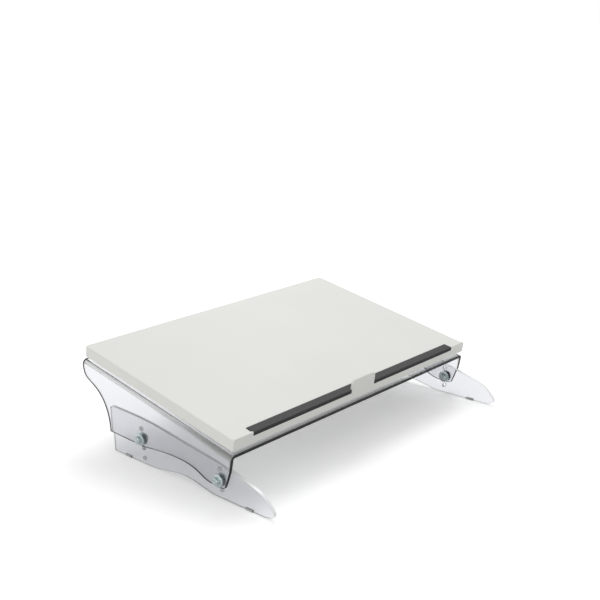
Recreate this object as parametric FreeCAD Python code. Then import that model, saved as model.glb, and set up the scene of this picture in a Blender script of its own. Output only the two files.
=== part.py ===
import FreeCAD, Part
import math
import os

from FreeCAD import Vector

# Sloped document board that slides on a clear bridge with two clear legs.
# X is the width, +Y points away from the user, +Z is up; millimetres and degrees.

# ---- bridge: one clear sheet bent down at both sides ----
slope_deg = 10.9            # fall of the board towards the user
bridge_width = 506.0        # outside faces of the two flanges
bridge_depth = 310.6        # datum to rear edge, along the slope
bridge_nose = 3.8           # the front edge lies this far before the datum, along the slope
bridge_front_height = 70.0  # top face of the sheet at the datum
bridge_sheet = 5.0
bend_inner_radius = 2.0

# flange outline below the sheet: horizontal distance from the datum, height
flange_front_sweep = (1.9, 45.0)  # halfway down the swept front edge
flange_toe = (12.0, 20.5)      # lower end of the front edge
flange_toe_radius = 3.0
flange_arch_start = (36.0, 19.5)
flange_arch_rise = (64.0, 28.4)  # halfway up the arch
flange_arch_top = (116.0, 34.8)
flange_arch_end = (176.0, 29.8)
flange_heel = (250.8, 32.0)    # lowest point of the rear edge
flange_rear_straight = 9.0     # straight end of the rear edge, below the sheet
# rear edge between the two: shares of its reach and of its rise
flange_rear_curve = ((0.10, 0.36), (0.36, 0.60), (0.76, 0.76))
# headings where the flange's curves meet: backwards, upwards
flange_front_heading = (0.24, -1.0)
flange_toe_heading = (0.45, -1.0)
flange_arch_heading = (1.0, 0.05)
flange_arch_end_heading = (1.0, -0.1)
flange_heel_heading = (0.0, 1.0)
flange_rear_heading = (0.05, 1.0)

# ---- legs: clear plates bolted to the inside of the flanges ----
leg_sheet = 5.0
leg_rear = 250.0               # rear edge, from the datum
leg_rear_height = 71.0
leg_rear_radius = 5.0
leg_top = ((192.0, 70.2), (127.0, 64.2), (92.0, 59.2), (19.0, 49.0), (-28.0, 37.4))
leg_toe = -71.0                # front tip
leg_toe_height = 9.0           # height of its foremost point
leg_toe_length = 12.0          # from the tip back to the shoulder of the toe
leg_toe_shoulder = 24.0        # height of the shoulder
leg_rear_foot = 170.0          # the rear foot reaches from here to the rear edge
leg_front_foot = (-48.0, 38.0)  # the front foot reaches between these
leg_arch_height = 8.5
leg_arch_middle = 92.0
# headings where the leg's curves meet: backwards, upwards
leg_top_heading = (-1.0, 0.0)
leg_toe_heading = (-0.72, -0.69)
leg_foot_heading = (1.0, 0.0)
leg_arch_front_heading = (1.0, 0.12)
leg_arch_rear_heading = (1.0, -0.02)

# ---- bolted joints between flange and leg ----
bolt_diameter = 6.0
bolt_hole_clearance = 0.4      # on the diameter
bolt_head_flats = 10.0
bolt_head_height = 4.0
washer_diameter = 18.0
washer_thickness = 1.6
washer_clearance = 0.4         # on the diameter
nut_flats = 10.0
nut_height = 5.0
thread_clearance = 0.05        # radial, between bolt and nut
bolt_end_rise = 1.0            # the bolt's end stands this far out of the nut
hole_pitch = 15.0
front_bolt = (23.0, 28.0)      # distance from the datum, height
rear_bolt = (182.0, 39.0)
front_hole_steps = (-1, 0, 1)
rear_hole_steps = (-2, -1, 0, 1)

# ---- foot pads ----
pad_length = 13.0
pad_height = 3.0
pad_proud = 1.0                # the pads stand this far below the legs
pad_starts = {"front": -33.0, "rear": 213.0}

# ---- sliding board ----
board_setback = 1.5            # its side walls stand in from the flanges' outer faces
board_front_overhang = 4.0     # before the datum, along the slope
board_rear_overhang = 0.0
board_gap = 6.4                # between the walls' lower edge and the bridge
board_wall = 15.0              # depth of the walls
board_sheet = 1.5
board_edge_radius = 2.6
board_front_corner = 4.0
board_rear_corner = 7.0
hem_width = 8.0                # inward return along the lower edge of each side wall
lip_thickness = 3.5
lip_end_rise = 1.5             # raised ends of the lip, above the board
lip_corner = 4.0
lip_edge_chamfer = 0.6
tab_width = 50.0
tab_rise = 16.2
tab_corner = 8.0

# ---- grip strip let into the front edge of the board ----
strip_width = 14.2
strip_height = 5.5
strip_seat = 4.1               # depth of the recess
strip_edge_radius = 0.8
strip_end_inset = 34.7         # from the board's sides
strip_fit = 0.3                # around its ends, its rear edge and the tab

# ---- slide: a channel rail on the bridge, a T-shaped runner under the board ----
slide_travel = 150.0
rail_inset = 51.5              # rail's middle to the board's side
rail_width = 24.0
rail_length = 286.0
rail_front = 12.0              # from the datum
rail_floor = 3.0
rail_wall = 2.0
rail_lip = 5.5                 # inward reach of each lip, wall included
rail_lip_thickness = 1.5
runner_clearance = 0.3
runner_foot_height = 5.5
runner_web = 10.0
runner_flange_width = 34.0
runner_flange = 2.5
runner_end_gap = 2.0           # runner ends behind the rail's ends
stop_pin_diameter = 5.0
stop_pin_rise = 2.9
stop_pin_place = 14.0          # from the rail's front end
stop_pin_clearance = 0.05      # radial, in the rail's floor
notch_clearance = 3.0          # rear wall's notches around the rails
tape_thickness = 1.0           # bonding tape under each rail and above each runner
tape_margin = 2.0              # the tape stops this far short of every edge


SIDES = {"left": -1, "right": 1}

slope = math.radians(slope_deg)
ALONG = Vector(0, math.cos(slope), math.sin(slope))      # up the slope
OFF = Vector(0, -math.sin(slope), math.cos(slope))       # square to the board
SHEET_DATUM = Vector(0, 0, bridge_front_height)          # the datum, on the sheet's top face

board_lift = board_gap + board_wall          # bridge's top face to the board's
board_front = -board_front_overhang
board_rear = bridge_depth + board_rear_overhang
lip_back = board_front + lip_thickness
board_width = bridge_width - 2 * board_setback
strip_length = board_width - 2 * strip_end_inset
rail_spacing = board_width - 2 * rail_inset
flange_outer = bridge_width / 2
flange_inner = flange_outer - bridge_sheet
leg_inner = flange_inner - leg_sheet
bolt_hole_radius = (bolt_diameter + bolt_hole_clearance) / 2
washer_hole_radius = (bolt_diameter + washer_clearance) / 2
nut_bore_radius = bolt_diameter / 2 + thread_clearance
clamped = leg_sheet + bridge_sheet + 2 * washer_thickness   # inner to outer washer face
bolt_length = clamped + nut_height + bolt_end_rise
strip_back = board_front + strip_width
strip_half = strip_length / 2
rail_inner = rail_width - 2 * rail_wall
runner_foot_width = rail_inner - 2 * runner_clearance
floor_top = tape_thickness + rail_floor
foot_bottom = floor_top + runner_clearance
foot_top = foot_bottom + runner_foot_height
rail_height = foot_top + runner_clearance + rail_lip_thickness
board_underside = board_lift - board_sheet
flange_top = board_underside - tape_thickness
flange_bottom = flange_top - runner_flange
pin_top = floor_top + stop_pin_rise
rail_rear = rail_front + rail_length
runner_front = rail_front + runner_end_gap
runner_rear = rail_rear - runner_end_gap
stop_pin_along = rail_front + stop_pin_place

tolerance = 1e-6               # for telling edges apart
over = 1.0                     # cutting shapes run past the faces they cut by this


# ---- helpers ----
def tilted(shape):
    """Take a shape drawn flat (X, along, off) to the slope at the datum."""
    turned = shape.copy()
    turned.rotate(Vector(), Vector(1, 0, 0), slope_deg)
    turned.translate(SHEET_DATUM)
    return turned


def block(x0, x1, y0, y1, z0, z1):
    return Part.makeBox(x1 - x0, y1 - y0, z1 - z0, Vector(x0, y0, z0))


def rod(radius, length, base, direction):
    return Part.makeCylinder(radius, length, base, direction)


def line(a, b):
    return Part.LineSegment(a, b).toShape()


def curve(points, start, end):
    """Smooth curve of the side view through points, with its headings at both ends."""
    spline = Part.BSplineCurve()
    spline.interpolate(Points=points, InitialTangent=side(*start), FinalTangent=side(*end))
    return spline.toShape()


def plate(edges, thickness_vector):
    """Solid plate from a closed chain of edges."""
    face = Part.Face(Part.Wire(Part.__sortEdges__(edges)))
    return face.extrude(thickness_vector)


def side(y, z):
    return Vector(0, y, z)


def sheet_point(along, off):
    """Point of the side view at a distance along and square to the sloping sheet."""
    return SHEET_DATUM + ALONG * along + OFF * off


def rounded_slab(x0, x1, y0, y1, z0, z1, front_radius, rear_radius):
    """Flat slab whose four upright corners are rounded, front and rear apart."""
    slab = block(x0, x1, y0, y1, z0, z1)
    for radius, y in ((front_radius, y0), (rear_radius, y1)):
        upright = [e for e in slab.Edges
                   if e.BoundBox.YLength < tolerance and e.BoundBox.XLength < tolerance
                   and abs(e.CenterOfMass.y - y) < tolerance]
        slab = slab.makeFillet(radius, upright)
    return slab


def edges_at(shape, z):
    return [e for e in shape.Edges
            if abs(e.BoundBox.ZMin - z) < tolerance and abs(e.BoundBox.ZMax - z) < tolerance]


def hexagon(flats, height):
    """Hexagonal prism on the Z axis."""
    reach = flats / 2 / math.cos(math.pi / 6)
    corners = [Vector(reach * math.cos(k * math.pi / 3), reach * math.sin(k * math.pi / 3), 0)
               for k in range(6)]
    return Part.Face(Part.makePolygon(corners + corners[:1])).extrude(Vector(0, 0, height))


def to_side(shape, sign, x, place):
    """Turn a shape from the Z axis to point outwards (+X on the right) at a bolt's place."""
    turned = shape.copy()
    turned.rotate(Vector(), Vector(0, 1, 0), 90 * sign)
    turned.translate(Vector(sign * x, place[0], place[1]))
    return turned


# ---- bridge ----
def flange_outline():
    """Side view of the bridge: front edge, toe, arch, heel and the curved rear edge."""
    top_front = sheet_point(-bridge_nose, bridge_sheet)
    nose_low = sheet_point(-bridge_nose, -bridge_sheet)
    toe = side(*flange_toe)
    toe_end = side(flange_toe[0] + flange_toe_radius, flange_toe[1] - flange_toe_radius / 2)
    arch_start = side(*flange_arch_start)
    arch_end = side(*flange_arch_end)
    heel = side(*flange_heel)
    rear_top = sheet_point(bridge_depth, bridge_sheet)
    rear_edge = sheet_point(bridge_depth, -flange_rear_straight)
    reach = rear_edge - heel
    bend_low, bend, crown = (side(heel.y + y * reach.y, heel.z + z * reach.z)
                             for y, z in flange_rear_curve)
    return [
        line(top_front, nose_low),
        curve([nose_low, side(*flange_front_sweep), toe],
              flange_front_heading, flange_toe_heading),
        curve([toe, toe_end, arch_start], flange_toe_heading, flange_arch_heading),
        curve([arch_start, side(*flange_arch_rise), side(*flange_arch_top), arch_end],
              flange_arch_heading, flange_arch_end_heading),
        line(arch_end, heel),
        curve([heel, bend_low, bend, crown, rear_edge],
              flange_heel_heading, flange_rear_heading),
        line(rear_edge, rear_top),
        line(rear_top, top_front),
    ]


def bolt_holes(sign):
    """Rods that cut the two bolt holes of one flange."""
    rods = [rod(bolt_hole_radius, bridge_sheet + 2 * over,
                Vector(sign * (flange_outer + over), *place), Vector(-sign, 0, 0))
            for place in (front_bolt, rear_bolt)]
    return rods[0].fuse(rods[1])


def bridge():
    outer_radius = bend_inner_radius + bridge_sheet
    drop = bridge_front_height + bridge_depth * math.sin(slope) + bridge_sheet
    reach = drop * math.tan(slope) + bridge_sheet

    def trough(half, radius, top, y0, y1):
        body = block(-half, half, y0, y1, -drop, top)
        upper = [e for e in edges_at(body, top) if e.BoundBox.YLength > bridge_depth / 2]
        return body.makeFillet(radius, upper)

    shell = trough(flange_outer, outer_radius, 0, -reach, bridge_depth + reach)
    shell = shell.cut(trough(flange_inner, bend_inner_radius, -bridge_sheet,
                             -2 * reach, bridge_depth + 2 * reach))
    outline = plate(flange_outline(), Vector(bridge_width + 2 * over, 0, 0))
    outline.translate(Vector(-flange_outer - over, 0, 0))
    body = tilted(shell).common(outline)
    for sign in SIDES.values():
        body = body.cut(bolt_holes(sign))
    return body.removeSplitter()


# ---- legs ----
def leg_outline():
    """Side view of a leg: rear edge, sloping top, drawn-out toe, two feet and an arch."""
    base = pad_proud
    rear_low = side(leg_rear, leg_rear_height - leg_rear_radius)
    rear_top = side(leg_rear - leg_rear_radius, leg_rear_height)
    toe_top = side(leg_toe + leg_toe_length, leg_toe_shoulder)
    toe_tip = side(leg_toe, leg_toe_height)
    toe_low = side(leg_front_foot[0], base)
    front_end = side(leg_front_foot[1], base)
    rear_start = side(leg_rear_foot, base)
    crown = side(leg_arch_middle, base + leg_arch_height)
    centre = side(rear_top.y, rear_low.z)
    corner = centre + side(1, 1) * (leg_rear_radius / math.sqrt(2))
    return [
        line(side(leg_rear, base), rear_low),
        Part.Arc(rear_low, corner, rear_top).toShape(),
        curve([rear_top] + [side(*place) for place in leg_top] + [toe_top],
              leg_top_heading, leg_toe_heading),
        curve([toe_top, toe_tip, toe_low], leg_toe_heading, leg_foot_heading),
        line(toe_low, front_end),
        curve([front_end, crown, rear_start], leg_arch_front_heading, leg_arch_rear_heading),
        line(rear_start, side(leg_rear, base)),
    ]


def column(place, steps):
    return [(place[0], place[1] + step * hole_pitch) for step in steps]


def pad(sign, start):
    half = leg_sheet / 2
    middle = leg_inner + half
    body = block(-half, half, 0, pad_length, 0, pad_height)
    body.translate(Vector(sign * middle, start, 0))
    return body


def leg(sign):
    x0 = leg_inner if sign > 0 else -flange_inner
    body = plate(leg_outline(), Vector(leg_sheet, 0, 0))
    body.translate(Vector(x0, 0, 0))
    places = column(front_bolt, front_hole_steps) + column(rear_bolt, rear_hole_steps)
    for y, z in places:
        body = body.cut(rod(bolt_hole_radius, leg_sheet + 2 * over,
                            Vector(x0 - over, y, z), Vector(1, 0, 0)))
    for start in pad_starts.values():
        body = body.cut(pad(sign, start))
    return body


# ---- bolts, washers and nuts ----
def bolt(sign, place):
    """Hexagon-headed bolt pushed through from inside, head against the inner washer."""
    head = hexagon(bolt_head_flats, bolt_head_height)
    head.rotate(Vector(), Vector(1, 0, 0), 180)
    shank = Part.makeCylinder(bolt_diameter / 2, bolt_length)
    return to_side(head.fuse(shank).removeSplitter(), sign, leg_inner - washer_thickness, place)


def washer(sign, x, place):
    ring = Part.makeCylinder(washer_diameter / 2, washer_thickness)
    ring = ring.cut(Part.makeCylinder(washer_hole_radius, washer_thickness))
    return to_side(ring, sign, x, place)


def nut(sign, place):
    """Plain hexagon nut against the outer washer, bored right through."""
    bore = Part.makeCylinder(nut_bore_radius, nut_height)
    return to_side(hexagon(nut_flats, nut_height).cut(bore), sign,
                   flange_outer + washer_thickness, place)


# ---- sliding board ----
def strip_recess(grow):
    """Recess of the grip strip, grown by a wall for the inside of the board."""
    half = strip_half + strip_fit + grow
    return block(-half, half, board_front - over, strip_back + strip_fit + grow,
                 board_lift - strip_seat - grow, board_lift + over)


def lip():
    """Front wall: raised ends, a low stretch under the strip and the tab in the middle."""
    half = board_width / 2
    low = board_lift - strip_seat
    end_top = board_lift + lip_end_rise
    tab_top = board_lift + tab_rise
    shape = block(-half, half, board_front, lip_back, board_gap, low)
    for sign in SIDES.values():
        x0, x1 = sorted((sign * (strip_half + strip_fit), sign * half))
        end = block(x0, x1, board_front, lip_back, board_gap, end_top)
        outer = [e for e in edges_at(end, end_top)
                 if e.BoundBox.XLength < tolerance
                 and abs(e.CenterOfMass.x - sign * half) < tolerance]
        shape = shape.fuse(end.makeFillet(lip_corner, outer))
    tab = block(-tab_width / 2, tab_width / 2, board_front, lip_back, board_gap, tab_top)
    corners = [e for e in edges_at(tab, tab_top) if e.BoundBox.XLength < tolerance]
    shape = shape.fuse(tab.makeFillet(tab_corner, corners)).removeSplitter()
    crest = [e for e in shape.Edges
             if e.BoundBox.ZMin > low + tolerance and e.BoundBox.YLength < tolerance]
    return shape.makeChamfer(lip_edge_chamfer, crest)


def board():
    """Pan of folded sheet: top, side walls with hems, rear wall with notches, front lip."""
    half = board_width / 2
    t = board_sheet
    top = board_lift
    outer = rounded_slab(-half, half, board_front, board_rear, board_gap, top,
                         board_front_corner, board_rear_corner)
    crest = [e for e in edges_at(outer, top) if e.BoundBox.YMax > board_front + over]
    outer = outer.makeFillet(board_edge_radius, crest)
    inner = rounded_slab(-half + t, half - t, lip_back, board_rear - t,
                         board_gap - over, top - t, board_front_corner, board_rear_corner - t)
    inner = inner.makeFillet(board_edge_radius - t, edges_at(inner, top - t))
    shell = outer.cut(strip_recess(0)).cut(inner.cut(strip_recess(t))).fuse(lip())
    for sign in SIDES.values():
        x0, x1 = sorted((sign * (half - t), sign * (half - hem_width)))
        shell = shell.fuse(block(x0, x1, lip_back, board_rear - board_rear_corner,
                                 board_gap, board_gap + t))
        notch = rail_width / 2 + notch_clearance
        middle = sign * rail_spacing / 2
        shell = shell.cut(block(middle - notch, middle + notch,
                                board_rear - board_rear_corner, board_rear + over,
                                board_gap - over, rail_height + notch_clearance))
    return tilted(shell.removeSplitter())


def grip_strip():
    """Rubber strip in the recess, notched round the tab, its rear edge a ledge for paper."""
    low = board_lift - strip_seat
    body = block(-strip_half, strip_half, board_front, strip_back, low, low + strip_height)
    crest = [e for e in edges_at(body, low + strip_height) if e.BoundBox.YLength < tolerance]
    body = body.makeFillet(strip_edge_radius, crest)
    notch = tab_width / 2 + strip_fit
    return tilted(body.cut(block(-notch, notch, board_front - over, lip_back + strip_fit,
                                 low - over, low + strip_height + over)))


# ---- slide ----
def rail(sign):
    """Channel with two lips, floor down on its tape."""
    half = rail_width / 2
    hollow = rail_inner / 2
    mouth = half - rail_lip
    y0 = rail_front - over
    y1 = rail_rear + over
    body = block(-half, half, rail_front, rail_rear, tape_thickness, rail_height)
    body = body.cut(block(-hollow, hollow, y0, y1, floor_top, rail_height - rail_lip_thickness))
    body = body.cut(block(-mouth, mouth, y0, y1, floor_top, rail_height + over))
    body = body.cut(rod(stop_pin_diameter / 2 + stop_pin_clearance, floor_top + over,
                        Vector(0, stop_pin_along, 0), Vector(0, 0, 1)))
    body.translate(Vector(sign * rail_spacing / 2, 0, 0))
    return tilted(body)


def stop_pin(sign):
    """Pin through the rail's floor that runs in the groove of the runner."""
    base = Vector(sign * rail_spacing / 2, stop_pin_along, tape_thickness)
    return tilted(rod(stop_pin_diameter / 2, pin_top - tape_thickness, base, Vector(0, 0, 1)))


def runner(sign):
    """T-shaped runner: foot in the channel, web through its mouth, flange under the board."""
    foot = runner_foot_width / 2
    web = runner_web / 2
    flange = runner_flange_width / 2
    ends = (runner_front, runner_rear)
    body = block(-foot, foot, *ends, foot_bottom, foot_top)
    body = body.fuse(block(-web, web, *ends, foot_bottom, flange_top))
    body = body.fuse(block(-flange, flange, *ends, flange_bottom, flange_top))
    groove = stop_pin_diameter / 2 + runner_clearance
    low = foot_bottom - over
    depth = pin_top + runner_clearance - low
    limits = (stop_pin_along, stop_pin_along + slide_travel)
    body = body.cut(block(-groove, groove, *limits, low, low + depth))
    for along in limits:
        body = body.cut(rod(groove, depth, Vector(0, along, low), Vector(0, 0, 1)))
    body.translate(Vector(sign * rail_spacing / 2, 0, 0))
    return tilted(body.removeSplitter())


def tape(sign, width, y0, y1, bottom):
    """Strip of bonding tape, a margin inside the faces that it joins."""
    half = width / 2 - tape_margin
    body = block(-half, half, y0 + tape_margin, y1 - tape_margin,
                 bottom, bottom + tape_thickness)
    body.translate(Vector(sign * rail_spacing / 2, 0, 0))
    return tilted(body)


# ---- assembly ----
def assembly():
    parts = {"board": board(), "grip_strip": grip_strip(), "bridge": bridge()}
    for name, sign in SIDES.items():
        parts["leg_" + name] = leg(sign)
        parts["rail_" + name] = rail(sign)
        parts["runner_" + name] = runner(sign)
        parts["stop_pin_" + name] = stop_pin(sign)
        parts["rail_tape_" + name] = tape(sign, rail_width, rail_front, rail_rear, 0)
        parts["runner_tape_" + name] = tape(sign, runner_flange_width,
                                            runner_front, runner_rear, flange_top)
        for end, start in pad_starts.items():
            parts["pad_%s_%s" % (name, end)] = pad(sign, start)
        for end, place in (("front", front_bolt), ("rear", rear_bolt)):
            label = "%s_%s" % (name, end)
            parts["bolt_" + label] = bolt(sign, place)
            parts["inner_washer_" + label] = washer(sign, leg_inner - washer_thickness, place)
            parts["outer_washer_" + label] = washer(sign, flange_outer, place)
            parts["nut_" + label] = nut(sign, place)
    return parts


def main():
    parts = assembly()
    box = Part.makeCompound(list(parts.values())).BoundBox
    centre = Vector(box.Center.x, box.Center.y, box.ZMin)
    os.makedirs("parts", exist_ok=True)
    for name, shape in parts.items():
        shape.translate(-centre)
        shape.exportStep("parts/%s.step" % name)
        print(name, "solids", len(shape.Solids), "valid", shape.isValid(),
              "volume %.1f" % shape.Volume)
    print("box %.1f x %.1f x %.1f, centre moved by %.2f %.2f %.2f"
          % (box.XLength, box.YLength, box.ZLength, *centre))


main()
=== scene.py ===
import math

import bmesh
import bpy
import numpy as np
from mathutils import Matrix, Vector

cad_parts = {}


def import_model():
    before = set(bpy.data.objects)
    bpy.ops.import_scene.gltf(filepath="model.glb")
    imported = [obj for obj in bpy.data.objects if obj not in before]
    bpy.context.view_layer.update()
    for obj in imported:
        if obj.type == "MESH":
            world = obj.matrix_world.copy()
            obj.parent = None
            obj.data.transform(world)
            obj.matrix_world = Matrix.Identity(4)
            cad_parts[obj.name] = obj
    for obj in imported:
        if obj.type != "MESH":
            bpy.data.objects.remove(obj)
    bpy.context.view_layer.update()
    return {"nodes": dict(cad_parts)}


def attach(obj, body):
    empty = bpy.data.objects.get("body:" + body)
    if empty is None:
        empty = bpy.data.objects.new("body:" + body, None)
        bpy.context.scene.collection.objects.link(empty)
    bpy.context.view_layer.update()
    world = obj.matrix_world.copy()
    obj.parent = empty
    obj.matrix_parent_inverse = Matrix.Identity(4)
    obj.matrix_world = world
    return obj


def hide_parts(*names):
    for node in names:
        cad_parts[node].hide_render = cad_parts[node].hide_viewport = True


# Sloped document board on a clear bridge with two clear legs: finishes, small
# fasteners, a plain stage, light and camera. Metres; X width, +Y away from the user.

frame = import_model()
nodes = frame["nodes"]

SEEN_RAYS = ("Is Camera Ray", "Is Transmission Ray")
SIDES = ("left", "right")
ENDS = ("front", "rear")

# ---- camera ----
CAMERA_PLACE = Vector((-0.99973, -0.95236, 0.58649))
CAMERA_YAW = 0.8133454       # to the right of straight ahead, radians
CAMERA_PITCH = 0.2763557     # below the horizon
CAMERA_ROLL = 0.0212710
FOCAL_SHARE = 973.95 / 600   # focal length over the picture's width
SENSOR = 36.0                # millimetres
SHIFT = (-0.0015, -0.0005)

# ---- clear sheets ----
AIR_FILM = 0.00005           # each clear piece is drawn in by this, so that faces never coincide
WELD = AIR_FILM / 10         # corners nearer than this are one
POLISHED_EDGE = 0.0004       # bevel along the cut edges
BEVEL_STEPS = 2
SHARP = math.radians(30)     # edges that turn by more than this are cut edges
FLAT = math.radians(0.5)     # triangles that meet flatter than this are one face
STRAIGHT = 0.046             # edge faces lean sideways by less than this
LEVEL = 0.02                 # edge faces that look up by more than this are pale, with painted light
FLANGE_FROM = 0.24           # everything further out than this is a flange or a leg
FORWARD = -0.5               # so are those that look more to the front than this
CUT_ACROSS = 0.5             # faces of the flat top that look this far along Y are cut edges
BEND_FROM = 0.2455           # the bends lie further out than this
BEND_START = (0.0004, 0.0012)    # depth below the top face where the painted shade in the bend starts
BEND_DEPTH = (0.0042, 0.0082)    # depth where it ends, at the rear and at the front
BEND_SPREAD = (-0.02, -0.09)     # Y between which that depth grows
BEND_FADE = 0.0024
NOSE_BAND = (-0.1180, -0.1150)   # Y where the painted shade along the front edge ends
GUIDED_AFTER = 2.5           # reflections inside the sheet, after which light counts as guided
PAINTED_GUIDED_GLOW = 0.12           # painted glow: an emission that stands in for what guided light brings along from the far edges
SHEET_IOR = 1.49
CLEAR_TINT = (0.80, 0.805, 0.83)
# painted shade for the bridge's bends and the band along its front edge
PAINTED_BEND_SHADE = (0.36, 0.36, 0.35)
SHADOW_TINT = (0.88, 0.90, 0.90, 1)  # of the lamps' light that passes through

# ---- grain: share of a noise that is used, then (smooth, rough, scale) and (strength, distance,
# scale) of gloss and bump ----
NOISE_RANGE = (0.3, 0.7)
NOISE_DETAIL = 3.0
NOISE_ROUGHNESS = 0.5
PAINT_SCALE = 6.0            # of the drift between a finish's two colours
RUBBER_SCALE = 300.0
PLASTIC_SCALE = 40.0
EDGE_SCALE = 160.0
SHEET_SCALE = 9.0
PAINT_GLOSS = (0.42, 0.52, 900.0)
PAINT_BUMP = (0.12, 0.0002, 1400.0)
RUBBER_GLOSS = (0.62, 0.78, 700.0)
RUBBER_BUMP = (0.2, 0.0002, 1500.0)
PLASTIC_GLOSS = (0.35, 0.45, 500.0)
EDGE_GLOSS = (0.22, 0.28, EDGE_SCALE)
SHEET_BUMP = (0.03, 0.002, SHEET_SCALE)
METAL_BUMP = (0.08, 0.0001)
NO_BUMP = (0.0, 0.0001, 100.0)
PAINTED_SHEEN_DEPTH = (0.0004, 0.0010)    # below the strip's upper face: where the painted sheen ends

# ---- colours: the two that a finish drifts between. A metal adds its two roughnesses and its
# scale, a cut edge its cover and specular level ----
PAINT_COLOURS = ((0.735, 0.74, 0.70), (0.76, 0.765, 0.725))
STRIP_COLOURS = ((0.014, 0.014, 0.015), (0.020, 0.020, 0.022))
# painted sheen: the paler colour painted on the strip's upper face for the light it catches
PAINTED_SHEEN_COLOUR = (0.042, 0.042, 0.044)
PAD_COLOURS = ((0.44, 0.44, 0.45), (0.50, 0.50, 0.51))
TAPE_COLOURS = ((0.15, 0.15, 0.155), (0.18, 0.18, 0.185))
PLASTIC_COLOURS = ((0.72, 0.72, 0.68), (0.76, 0.76, 0.72))
ZINC = ((0.62, 0.70, 0.71), (0.74, 0.82, 0.83), 0.22, 0.36, 120.0)
ALUMINIUM = ((0.62, 0.63, 0.64), (0.70, 0.71, 0.72), 0.3, 0.42, 80.0)
STEEL = ((0.45, 0.46, 0.47), (0.52, 0.53, 0.54), 0.3, 0.4, 200.0)
# cut edges: the dark and the deep one are painted shade for the dark seen into the sheet; the pale
# one is a matte cut edge made paler with painted light
PAINTED_SHADE_EDGE = ((0.008, 0.008, 0.009), (0.018, 0.018, 0.019), 0.98, 0.2)
PAINTED_DEEP_SHADE_EDGE = ((0.04, 0.04, 0.043), (0.12, 0.12, 0.125), 0.55, 0.5)
MATTE_PAINTED_LIGHT_EDGE = ((0.93, 0.94, 0.95), (0.97, 0.98, 0.99), 1.0, 0.5)

# ---- fasteners ----
AROUND = 72                  # points round each ring, twelve to a hexagon's side
HEX_FLATS = 0.010
TURNED_CIRCLE = 0.0047       # radius of the flat left on a head or nut
HEAD_HEIGHT = 0.004
NUT_HEIGHT = 0.005
NUT_BORE = 0.00305
MOUTH = 0.0004               # chamfer at the nut's bore
BOLT_RADIUS = 0.003
POINT = 0.0006               # chamfer at the bolt's end
WASHER_RADIUS = 0.009
WASHER_BORE = 0.0032
WASHER_THICKNESS = 0.0016
WASHER_ROUND = 0.0003
TURNED_SHARP = math.radians(25)
TURN_DOWN = math.tan(math.pi / 6)    # slope of the turned-down corners

# ---- stage ----
FLOOR_HALF = 40.0
FLOOR_COLOUR = (0.86, 0.86, 0.86, 1)
FLOOR_ROUGHNESS = 0.9
FLOOR_LIFT = (0.32, 1.0)     # light the camera sees from the floor, near the part and far off
LIFT_RANGE = (0.65, 1.6)     # metres from the part where the far value takes over
WORLD_LEVEL = 0.62
WHITE = (1, 1, 1, 1)
BLACK = (0, 0, 0, 1)
# name: place, width and height, watts; all of them aim at the part's middle
LAMPS = {"key": ((0.9, 0.6, 1.9), (1.2, 1.2), 19.0),
         "fill": ((-2.5, 0.5, 0.8), (1.5, 1.5), 12.0)}


# ---- small node helpers ----
def new_material(name):
    """An empty node material with its output and one Principled shader."""
    material = bpy.data.materials.new(name)
    material.use_nodes = True
    tree = material.node_tree
    tree.nodes.clear()
    output = tree.nodes.new("ShaderNodeOutputMaterial")
    shader = tree.nodes.new("ShaderNodeBsdfPrincipled")
    tree.links.new(shader.outputs[0], output.inputs["Surface"])
    return material, tree, shader, output


def feed(tree, sockets, values):
    """Write each named value into its socket, or link it where it is a socket itself."""
    for name, value in values.items():
        if isinstance(value, bpy.types.NodeSocket):
            tree.links.new(value, sockets[name])
        else:
            sockets[name].default_value = value


def object_place(tree):
    """The point on the piece, in metres."""
    return tree.nodes.new("ShaderNodeTexCoord").outputs["Object"]


def noise(tree, place, scale):
    node = tree.nodes.new("ShaderNodeTexNoise")
    feed(tree, node.inputs, {"Vector": place, "Scale": scale,
                             "Detail": NOISE_DETAIL, "Roughness": NOISE_ROUGHNESS})
    return node.outputs["Fac"]


def span(tree, value, low, high, out_low, out_high):
    """Map a value from one range to another, held at the ends."""
    node = tree.nodes.new("ShaderNodeMapRange")
    feed(tree, node.inputs, {"Value": value, "From Min": low, "From Max": high,
                             "To Min": out_low, "To Max": out_high})
    return node.outputs["Result"]


def combine(tree, operation, first, second):
    node = tree.nodes.new("ShaderNodeMath")
    node.operation = operation
    feed(tree, node.inputs, {0: first, 1: second})
    return node.outputs[0]


def blend_colours(tree, share, first, second):
    node = tree.nodes.new("ShaderNodeMix")
    node.data_type = "RGBA"
    feed(tree, node.inputs, {"Factor": share, "A": first, "B": second})
    return node.outputs["Result"]


def seen_rays(tree):
    """1 for rays from the camera or through clear sheet, otherwise 0."""
    rays = tree.nodes.new("ShaderNodeLightPath")
    return combine(tree, "MAXIMUM", *[rays.outputs[name] for name in SEEN_RAYS])


# ---- effects that several finishes share ----
def new_group(name, inputs, outputs):
    """An empty shader node group with the named sockets, and its two ends."""
    group = bpy.data.node_groups.new(name, "ShaderNodeTree")
    for way, sockets in (("INPUT", inputs), ("OUTPUT", outputs)):
        for label, kind in sockets.items():
            group.interface.new_socket(name=label, in_out=way, socket_type="NodeSocket" + kind)
    start = group.nodes.new("NodeGroupInput").outputs
    end = group.nodes.new("NodeGroupOutput").inputs
    return group, start, end


def placed(tree, group, values):
    """The group's outputs, once it is placed in a material with its own values."""
    node = tree.nodes.new("ShaderNodeGroup")
    node.node_tree = group
    feed(tree, node.inputs, values)
    return node.outputs


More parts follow.
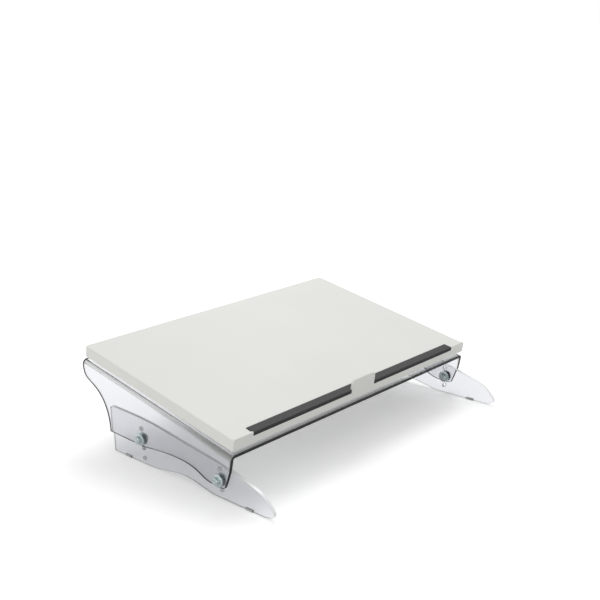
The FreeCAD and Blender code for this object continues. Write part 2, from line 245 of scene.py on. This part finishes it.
def grain_group():
    """A noise drifts between two colours, a second one between two roughnesses, and a third
    raises and lowers the surface."""
    group, start, end = new_group(
        "surface_grain",
        {"Place": "Vector", "Dark": "Color", "Light": "Color", "Tone Scale": "Float",
         "Smooth": "Float", "Rough": "Float", "Gloss Scale": "Float",
         "Bump Scale": "Float", "Bump Strength": "Float", "Bump Distance": "Float"},
        {"Colour": "Color", "Roughness": "Float", "Normal": "Vector"})
    place = start["Place"]
    tone = span(group, noise(group, place, start["Tone Scale"]), *NOISE_RANGE, 0.0, 1.0)
    gloss = span(group, noise(group, place, start["Gloss Scale"]), *NOISE_RANGE,
                 start["Smooth"], start["Rough"])
    bump = group.nodes.new("ShaderNodeBump")
    feed(group, bump.inputs, {"Height": noise(group, place, start["Bump Scale"]),
                              "Strength": start["Bump Strength"],
                              "Distance": start["Bump Distance"]})
    feed(group, end, {"Colour": blend_colours(group, tone, start["Dark"], start["Light"]),
                      "Roughness": gloss, "Normal": bump.outputs["Normal"]})
    return group


def depth_group():
    """How far a point lies below the plane that looks a given way and lies at a given reach."""
    group, start, end = new_group("depth_below",
                                  {"Place": "Vector", "Way": "Vector", "Reach": "Float"},
                                  {"Depth": "Float"})
    along = group.nodes.new("ShaderNodeVectorMath")
    along.operation = "DOT_PRODUCT"
    feed(group, along.inputs, {0: start["Place"], 1: start["Way"]})
    feed(group, end, {"Depth": combine(group, "SUBTRACT", start["Reach"],
                                       along.outputs["Value"])})
    return group


def grained(tree, shader, place, dark, light, tone_scale, gloss, bump):
    """Dress a shader in the shared grain; gloss and bump are written scale last."""
    smooth, rough, gloss_scale = gloss
    strength, distance, bump_scale = bump
    grain = placed(tree, surface_grain, {
        "Place": place, "Dark": (*dark, 1), "Light": (*light, 1), "Tone Scale": tone_scale,
        "Smooth": smooth, "Rough": rough, "Gloss Scale": gloss_scale,
        "Bump Scale": bump_scale, "Bump Strength": strength, "Bump Distance": distance})
    feed(tree, shader.inputs, {"Base Color": grain["Colour"], "Roughness": grain["Roughness"],
                               "Normal": grain["Normal"]})
    return grain


def depth_under(tree, place, node):
    """Depth below a node's upper face: the plane comes from its largest triangle that looks up."""
    mesh = nodes[node].data
    up = max((face for face in mesh.polygons if face.normal.z > 0), key=lambda face: face.area)
    reach = max(up.normal.dot(vertex.co) for vertex in mesh.vertices)
    return placed(tree, depth_below, {"Place": place, "Way": up.normal, "Reach": reach})["Depth"]


# ---- finishes ----
def finish(name, dark, light, tone_scale, gloss, bump, values):
    """A finish of the shared grain alone; values are the shader's own plain numbers."""
    material, tree, shader, _ = new_material(name)
    grained(tree, shader, object_place(tree), dark, light, tone_scale, gloss, bump)
    feed(tree, shader.inputs, values)
    return material


def metal(name, dark, light, rough_low, rough_high, scale):
    """Bare metal; its gloss drifts twice as finely as its colour, and its bump three times."""
    return finish(name, dark, light, scale, (rough_low, rough_high, scale * 2),
                  (*METAL_BUMP, scale * 3), {"Metallic": 1.0})


def rubber(name, dark, light):
    return finish(name, dark, light, RUBBER_SCALE, RUBBER_GLOSS, RUBBER_BUMP, {})


def sheet_edge(name, dark, light, cover, specular):
    """Cut edge of the clear sheet, partly see-through, with faint streaks; its colour is painted
    shade or painted light, by the way the edge faces.
    """
    return finish(name, dark, light, EDGE_SCALE, EDGE_GLOSS, NO_BUMP,
                  {"Alpha": cover, "Specular IOR Level": specular})


def grip_rubber(name, front, top):
    """Rubber whose upper face is painted paler than its front: a painted sheen for the light that
    upper face catches.
    """
    material, tree, shader, _ = new_material(name)
    place = object_place(tree)
    grain = grained(tree, shader, place, *front, RUBBER_SCALE, RUBBER_GLOSS, RUBBER_BUMP)
    # painted sheen: the upper face of the strip is painted paler than its front
    painted_sheen = span(tree, depth_under(tree, place, "grip_strip"), *PAINTED_SHEEN_DEPTH, 1.0, 0.0)
    feed(tree, shader.inputs, {
        "Base Color": blend_colours(tree, painted_sheen, grain["Colour"], (*top, 1))})
    return material


def painted_shade_mask(tree, place):
    """1 where the bridge gets painted shade, which stands in for the dark seen into its bends and
    the shade under the board. That's in its bends, from just under its upper face down to a depth
    that grows towards the front, and in a narrow band along its front edge."""
    apart = tree.nodes.new("ShaderNodeSeparateXYZ")
    tree.links.new(place, apart.inputs[0])
    outside = combine(tree, "GREATER_THAN",
                      combine(tree, "ABSOLUTE", apart.outputs["X"], 0.0), BEND_FROM)
    depth = depth_under(tree, place, "bridge")
    past = combine(tree, "SUBTRACT", depth,
                   span(tree, apart.outputs["Y"], *BEND_SPREAD, *BEND_DEPTH))
    within = combine(tree, "MULTIPLY", span(tree, depth, *BEND_START, 0.0, 1.0),
                     span(tree, past, -BEND_FADE, BEND_FADE, 1.0, 0.0))
    nose = span(tree, apart.outputs["Y"], *NOSE_BAND, 1.0, 0.0)
    return combine(tree, "MAXIMUM", combine(tree, "MULTIPLY", outside, within), nose)


def clear_acrylic(name, tint, painted_bend_shade=None):
    """Clear cast sheet that lets light from the lamps through to what is behind it. Where a
    painted bend shade is given, its bends and a band along its front edge get that painted shade.
    Light that the sheet guides along inside gets a faint painted glow, where it would otherwise
    end in black."""
    material, tree, shader, output = new_material(name)
    place = object_place(tree)
    grain = grained(tree, shader, place, tint, tint, SHEET_SCALE, (0.0, 0.0, SHEET_SCALE),
                    SHEET_BUMP)
    tree.links.remove(shader.inputs["Roughness"].links[0])
    feed(tree, shader.inputs, {"IOR": SHEET_IOR, "Transmission Weight": 1.0, "Roughness": 0.0})
    # painted shade in the bends and along the front edge
    if painted_bend_shade:
        feed(tree, shader.inputs, {"Base Color": blend_colours(
            tree, painted_shade_mask(tree, place), grain["Colour"], (*painted_bend_shade, 1))})
    clear = tree.nodes.new("ShaderNodeBsdfTransparent")
    clear.inputs["Color"].default_value = SHADOW_TINT
    rays = tree.nodes.new("ShaderNodeLightPath")
    # painted glow: rays that have reflected often inside the sheet pick up a faint emission
    guided = combine(tree, "GREATER_THAN", rays.outputs["Glossy Depth"], GUIDED_AFTER)
    feed(tree, shader.inputs, {
        "Emission Color": blend_colours(tree, guided, BLACK, WHITE),
        "Emission Strength": PAINTED_GUIDED_GLOW})
    pick = tree.nodes.new("ShaderNodeMixShader")
    feed(tree, pick.inputs, {"Fac": rays.outputs["Is Shadow Ray"], 1: shader.outputs[0],
                             2: clear.outputs[0]})
    tree.links.new(pick.outputs[0], output.inputs["Surface"])
    return material


# ---- clear sheets: smoothed copies of the bridge and the legs ----
def is_edge(face):
    """True for a face cut across the sheet: it runs straight along X at a rim or a hole."""
    centre = face.calc_center_median()
    across = abs(face.normal.x) < STRAIGHT
    return across and (abs(centre.x) > FLANGE_FROM or abs(face.normal.y) > CUT_ACROSS)


def clear_piece(name, body, materials):
    """Smoothed copy of a clear node, each corner drawn in along its normal by the air film.
    Its materials are those of the sheet, of the pale cut faces (painted light) and of the dark
    ones (painted shade)."""
    shape = bmesh.new()
    shape.from_mesh(nodes[name].data)
    bmesh.ops.remove_doubles(shape, verts=shape.verts, dist=WELD)
    bmesh.ops.dissolve_limit(shape, angle_limit=FLAT, verts=shape.verts, edges=shape.edges)
    shape.normal_update()
    moves = [vertex.normal * (-AIR_FILM * vertex.calc_shell_factor()) for vertex in shape.verts]
    for vertex, move in zip(shape.verts, moves):
        vertex.co += move
    for edge in shape.edges:
        edge.smooth = edge.calc_face_angle(0) < SHARP
    for face in shape.faces:
        face.smooth = True
        # cut faces that look up or to the front get painted light, the others painted shade
        if is_edge(face):
            pale = face.normal.z > LEVEL or face.normal.y < FORWARD
            face.material_index = 1 if pale else 2
    mesh = bpy.data.meshes.new("clear_" + name)
    shape.to_mesh(mesh)
    shape.free()
    piece = bpy.data.objects.new("clear_" + name, mesh)
    bpy.context.collection.objects.link(piece)
    bevel = piece.modifiers.new("polished_edge", "BEVEL")
    bevel.width = POLISHED_EDGE
    bevel.segments = BEVEL_STEPS
    bevel.limit_method = "ANGLE"
    bevel.angle_limit = SHARP
    weighted = piece.modifiers.new("flat_faces", "WEIGHTED_NORMAL")
    weighted.keep_sharp = True
    for material in materials:
        mesh.materials.append(material)
    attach(piece, body)
    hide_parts(name)
    return piece


# ---- fasteners: turned surfaces round each bolt's axis ----
def extent(name):
    """Corners of a node's box, from its own mesh."""
    points = np.empty(len(nodes[name].data.vertices) * 3)
    nodes[name].data.vertices.foreach_get("co", points)
    points = points.reshape(-1, 3)
    return points.min(axis=0), points.max(axis=0)


def hexagon_reach(around):
    """Distance from the axis to a hexagon's side at each angle round it: half the width
    across flats over the cosine of the angle from the nearest flat's middle."""
    sixth = math.pi / 3
    return HEX_FLATS / 2 / np.cos((around + sixth / 2) % sixth - sixth / 2)


def turned(name, node, body, rings, loop, material):
    """Closed surface through rings round the bolt's axis. Ring by ring, each point lies at the
    ring's radius from the axis, turned by its angle, and at the ring's height outwards from
    the node's inner end. A loop joins the last ring to the first; otherwise both are capped."""
    low, high = extent(node)
    sign = -1 if low[0] < 0 else 1
    start = low[0] if sign > 0 else high[0]
    middle = (low + high) / 2
    around = np.linspace(0, 2 * math.pi, AROUND, endpoint=False)
    points = []
    for radius, height in rings:
        points.append(np.stack([start + sign * height + 0 * around,
                                middle[1] + radius * np.cos(around),
                                middle[2] + radius * np.sin(around)], axis=1))
    count = len(rings)
    steps = [(k, (k + 1) % count) for k in range(count if loop else count - 1)]
    faces = [[a * AROUND + i, a * AROUND + (i + 1) % AROUND,
              b * AROUND + (i + 1) % AROUND, b * AROUND + i]
             for a, b in steps for i in range(AROUND)]
    if not loop:
        faces.append([i for i in reversed(range(AROUND))])
        faces.append([(count - 1) * AROUND + i for i in range(AROUND)])
    if sign < 0:
        faces = [face[::-1] for face in faces]
    mesh = bpy.data.meshes.new(name)
    mesh.from_pydata(np.concatenate(points).tolist(), [], faces)
    mesh.shade_smooth()
    mesh.set_sharp_from_angle(angle=TURNED_SHARP)
    piece = bpy.data.objects.new(name, mesh)
    bpy.context.collection.objects.link(piece)
    mesh.materials.append(material)
    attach(piece, body)
    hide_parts(node)


def nut_rings(around):
    """Bore, flat faces and the hexagon's sides; the corners are turned down at 30 degrees
    beyond the turned circle, so the height falls there with the reach."""
    reach = hexagon_reach(around)
    drop = np.maximum(reach - TURNED_CIRCLE, 0) * TURN_DOWN
    return [(NUT_BORE, MOUTH), (NUT_BORE + MOUTH, 0.0), (TURNED_CIRCLE, 0.0), (reach, drop),
            (reach, NUT_HEIGHT - drop), (TURNED_CIRCLE, NUT_HEIGHT),
            (NUT_BORE + MOUTH, NUT_HEIGHT), (NUT_BORE, NUT_HEIGHT - MOUTH)]


def bolt_rings(around, length):
    """Head with its outer corners turned down, then the shank and its pointed end."""
    reach = hexagon_reach(around)
    drop = np.maximum(reach - TURNED_CIRCLE, 0) * TURN_DOWN
    return [(TURNED_CIRCLE, 0.0), (reach, drop), (reach, HEAD_HEIGHT),
            (BOLT_RADIUS, HEAD_HEIGHT), (BOLT_RADIUS, length - POINT),
            (BOLT_RADIUS - POINT, length)]


def washer_rings():
    """Flat ring whose rims are rounded through one half-way step."""
    half = WASHER_ROUND * (1 - math.sqrt(0.5))
    outer, inner, thick = WASHER_RADIUS, WASHER_BORE, WASHER_THICKNESS
    low = [(inner + WASHER_ROUND, 0.0), (outer - WASHER_ROUND, 0.0), (outer - half, half),
           (outer, WASHER_ROUND)]
    high = [(outer, thick - WASHER_ROUND), (outer - half, thick - half),
            (outer - WASHER_ROUND, thick), (inner + WASHER_ROUND, thick)]
    return low + high + [(inner, thick - WASHER_ROUND), (inner, WASHER_ROUND)]


def fasteners(material):
    around = np.linspace(0, 2 * math.pi, AROUND, endpoint=False)
    for side in SIDES:
        for end in ENDS:
            label = "%s_%s" % (side, end)
            low, high = extent("bolt_" + label)
            turned("turned_nut_" + label, "nut_" + label, "nut_" + label,
                   nut_rings(around), True, material)
            turned("turned_bolt_" + label, "bolt_" + label, "base",
                   bolt_rings(around, high[0] - low[0]), False, material)
            for layer in ("inner", "outer"):
                turned("turned_%s_washer_%s" % (layer, label), "%s_washer_%s" % (layer, label),
                       "base", washer_rings(), True, material)


def dress(finishes):
    """Give every node the finish whose name parts its own name starts with."""
    for name, node in nodes.items():
        material = next(finishes[start] for start in finishes if name.startswith(start))
        node.data.materials.clear()
        node.data.materials.append(material)


# ---- stage, light and camera ----
def stage():
    """Pale floor that meets the white background without a seam."""
    mesh = bpy.data.meshes.new("floor")
    half = FLOOR_HALF
    mesh.from_pydata([(-half, -half, 0), (half, -half, 0), (half, half, 0), (-half, half, 0)],
                     [], [(0, 1, 2, 3)])
    floor = bpy.data.objects.new("floor", mesh)
    bpy.context.collection.objects.link(floor)
    material, tree, shader, output = new_material("floor")
    feed(tree, shader.inputs, {"Base Color": FLOOR_COLOUR, "Roughness": FLOOR_ROUGHNESS,
                               "Specular IOR Level": 0.0})
    reach = tree.nodes.new("ShaderNodeVectorMath")
    reach.operation = "LENGTH"
    tree.links.new(object_place(tree), reach.inputs[0])
    far = span(tree, reach.outputs["Value"], *LIFT_RANGE, *FLOOR_LIFT)
    lift = tree.nodes.new("ShaderNodeEmission")
    feed(tree, lift.inputs, {"Strength": combine(tree, "MULTIPLY", far, seen_rays(tree))})
    both = tree.nodes.new("ShaderNodeAddShader")
    tree.links.new(shader.outputs[0], both.inputs[0])
    tree.links.new(lift.outputs[0], both.inputs[1])
    tree.links.new(both.outputs[0], output.inputs["Surface"])
    floor.data.materials.append(material)


def world():
    """Even sky that camera and transmitted rays see as plain white."""
    scene_world = bpy.data.worlds.new("studio")
    bpy.context.scene.world = scene_world
    scene_world.use_nodes = True
    tree = scene_world.node_tree
    tree.nodes.clear()
    output = tree.nodes.new("ShaderNodeOutputWorld")
    light = tree.nodes.new("ShaderNodeBackground")
    seen = tree.nodes.new("ShaderNodeBackground")
    feed(tree, light.inputs, {"Color": WHITE, "Strength": WORLD_LEVEL})
    feed(tree, seen.inputs, {"Color": WHITE, "Strength": 1.0})
    pick = tree.nodes.new("ShaderNodeMixShader")
    feed(tree, pick.inputs, {"Fac": seen_rays(tree), 1: light.outputs[0], 2: seen.outputs[0]})
    tree.links.new(pick.outputs[0], output.inputs["Surface"])


def lamp(name, place, size, watts):
    """Rectangular lamp that looks at the part's middle."""
    light = bpy.data.lights.new(name, "AREA")
    light.shape = "RECTANGLE"
    light.size = size[0]
    light.size_y = size[1]
    light.energy = watts
    lamp_object = bpy.data.objects.new(name, light)
    bpy.context.collection.objects.link(lamp_object)
    aim = (-Vector(place)).to_track_quat("-Z", "Y")
    lamp_object.matrix_world = Matrix.Translation(place) @ aim.to_matrix().to_4x4()


def camera():
    """Camera whose axes follow from its yaw, pitch and roll."""
    cos_yaw, sin_yaw = math.cos(CAMERA_YAW), math.sin(CAMERA_YAW)
    cos_pitch, sin_pitch = math.cos(CAMERA_PITCH), math.sin(CAMERA_PITCH)
    forward = Vector((sin_yaw * cos_pitch, cos_yaw * cos_pitch, -sin_pitch))
    level_right = Vector((cos_yaw, -sin_yaw, 0))
    level_down = forward.cross(level_right)
    cos_roll, sin_roll = math.cos(CAMERA_ROLL), math.sin(CAMERA_ROLL)
    right = level_right * cos_roll + level_down * sin_roll
    down = level_down * cos_roll - level_right * sin_roll
    turn = Matrix((right, -down, -forward)).transposed().to_4x4()
    data = bpy.data.cameras.new("camera")
    data.sensor_width = SENSOR
    data.lens = FOCAL_SHARE * SENSOR
    data.shift_x, data.shift_y = SHIFT
    camera_object = bpy.data.objects.new("camera", data)
    camera_object.matrix_world = Matrix.Translation(CAMERA_PLACE) @ turn
    bpy.context.collection.objects.link(camera_object)
    bpy.context.scene.camera = camera_object


bpy.context.scene.view_settings.view_transform = "Standard"
surface_grain = grain_group()
depth_below = depth_group()
acrylic = clear_acrylic("clear_acrylic", CLEAR_TINT)
bridge_acrylic = clear_acrylic("bridge_acrylic", CLEAR_TINT, PAINTED_BEND_SHADE)
painted_shade_edge = sheet_edge("painted_shade_edge", *PAINTED_SHADE_EDGE)
painted_deep_shade_edge = sheet_edge("painted_deep_shade_edge", *PAINTED_DEEP_SHADE_EDGE)
matte_painted_light_edge = sheet_edge("matte_painted_light_edge", *MATTE_PAINTED_LIGHT_EDGE)
zinc = metal("zinc_steel", *ZINC)
tape = rubber("bonding_tape", *TAPE_COLOURS)
dress({
    "board": finish("painted_sheet", *PAINT_COLOURS, PAINT_SCALE, PAINT_GLOSS, PAINT_BUMP, {}),
    "grip_strip": grip_rubber("grip_rubber", STRIP_COLOURS, PAINTED_SHEEN_COLOUR),
    "bridge": bridge_acrylic,
    "leg": acrylic,
    "pad": rubber("pad_rubber", *PAD_COLOURS),
    "rail_tape": tape,
    "runner_tape": tape,
    "rail": metal("rail_aluminium", *ALUMINIUM),
    "runner": finish("runner_plastic", *PLASTIC_COLOURS, PLASTIC_SCALE, PLASTIC_GLOSS, NO_BUMP,
                     {}),
    "stop_pin": metal("plain_steel", *STEEL),
    "": zinc,
})
clear_piece("bridge", "base", (bridge_acrylic, painted_shade_edge, painted_shade_edge))
for side in SIDES:
    clear_piece("leg_" + side, "base", (acrylic, matte_painted_light_edge, painted_deep_shade_edge))
fasteners(zinc)
stage()
world()
for name, (place, size, watts) in LAMPS.items():
    lamp(name, place, size, watts)
camera()
